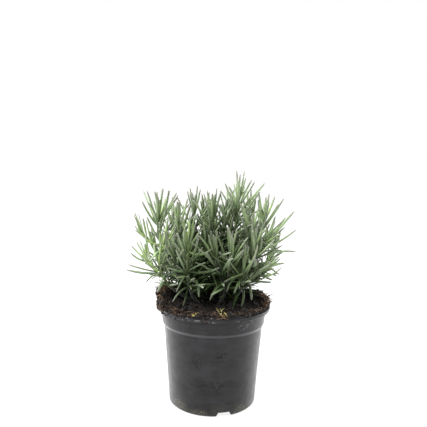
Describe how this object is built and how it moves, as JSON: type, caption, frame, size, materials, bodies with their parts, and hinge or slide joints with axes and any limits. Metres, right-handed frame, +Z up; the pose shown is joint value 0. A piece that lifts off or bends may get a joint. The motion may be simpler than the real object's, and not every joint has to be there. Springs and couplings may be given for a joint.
{
  "type": "potted lavender",
  "caption": "Young lavender with narrow grey-green leaves in opposite pairs on upright leafy stems, in peat heaped above a tapered nursery pot with a turned-down lip and a notched foot.",
  "frame": {"origin": "middle of the flat pad under the pot, on the surface that the pot stands on", "axes": "+Z up along the pot's axis, -Y towards the side that the picture shows, +X to its right"},
  "size_m": [0.1523, 0.1234, 0.2166],
  "materials": {
    "pot_plastic": "black moulded nursery plastic, satin, dusty and scuffed",
    "peat": "rough moist dark peat with coarse fibres",
    "lavender_leaf": "soft felted grey-green leaf"
  },
  "bodies": {
    "root": {"pot": "pot_plastic", "soil": "peat", "leafy_stem_left_tall": "lavender_leaf", "leafy_stem_left_low": "lavender_leaf", "leafy_stem_front_left": "lavender_leaf", "leafy_stem_left_inner": "lavender_leaf", "leafy_stem_back_left": "lavender_leaf", "leafy_stem_centre": "lavender_leaf", "leafy_stem_front_centre": "lavender_leaf", "leafy_stem_tallest": "lavender_leaf", "leafy_stem_right_tall": "lavender_leaf", "leafy_stem_right": "lavender_leaf", "leafy_stem_right_low": "lavender_leaf", "leafy_stem_back_right": "lavender_leaf", "leafy_stem_back": "lavender_leaf", "leafy_stem_back_low": "lavender_leaf"}
  },
  "joints": []
}
